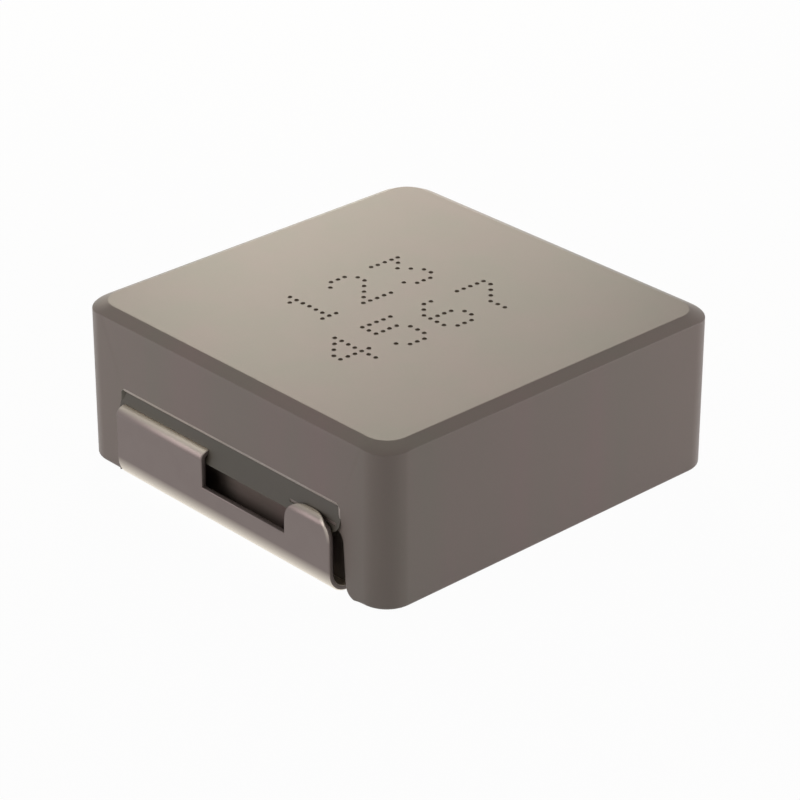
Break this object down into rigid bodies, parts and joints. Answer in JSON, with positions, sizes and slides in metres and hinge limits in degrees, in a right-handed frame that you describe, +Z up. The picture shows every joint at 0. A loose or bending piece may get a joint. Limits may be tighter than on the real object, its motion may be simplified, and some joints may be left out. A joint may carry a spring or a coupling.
{
  "type": "shielded surface-mount power inductor",
  "caption": "Square block of pressed magnetic compound moulded round a flat-wire coil, with a bent tinned terminal at each of two opposite sides for soldering to a board.",
  "frame": {"origin": "on the seating plane under the two feet, below the middle of the block", "axes": "+Z up from the board, +X from the terminal_left side to the terminal_right side, +Y towards the side where both wide prongs are"},
  "size_m": [0.018, 0.0172, 0.0067],
  "materials": {
    "compound": "satin pressed magnetic compound, brown grey",
    "tinned_copper": "satin tin plating on copper",
    "enamelled_wire": "clear enamel on flat copper wire"
  },
  "bodies": {
    "root": {"body": "compound", "coil": "enamelled_wire", "terminal_left": "tinned_copper", "terminal_right": "tinned_copper"}
  },
  "joints": []
}
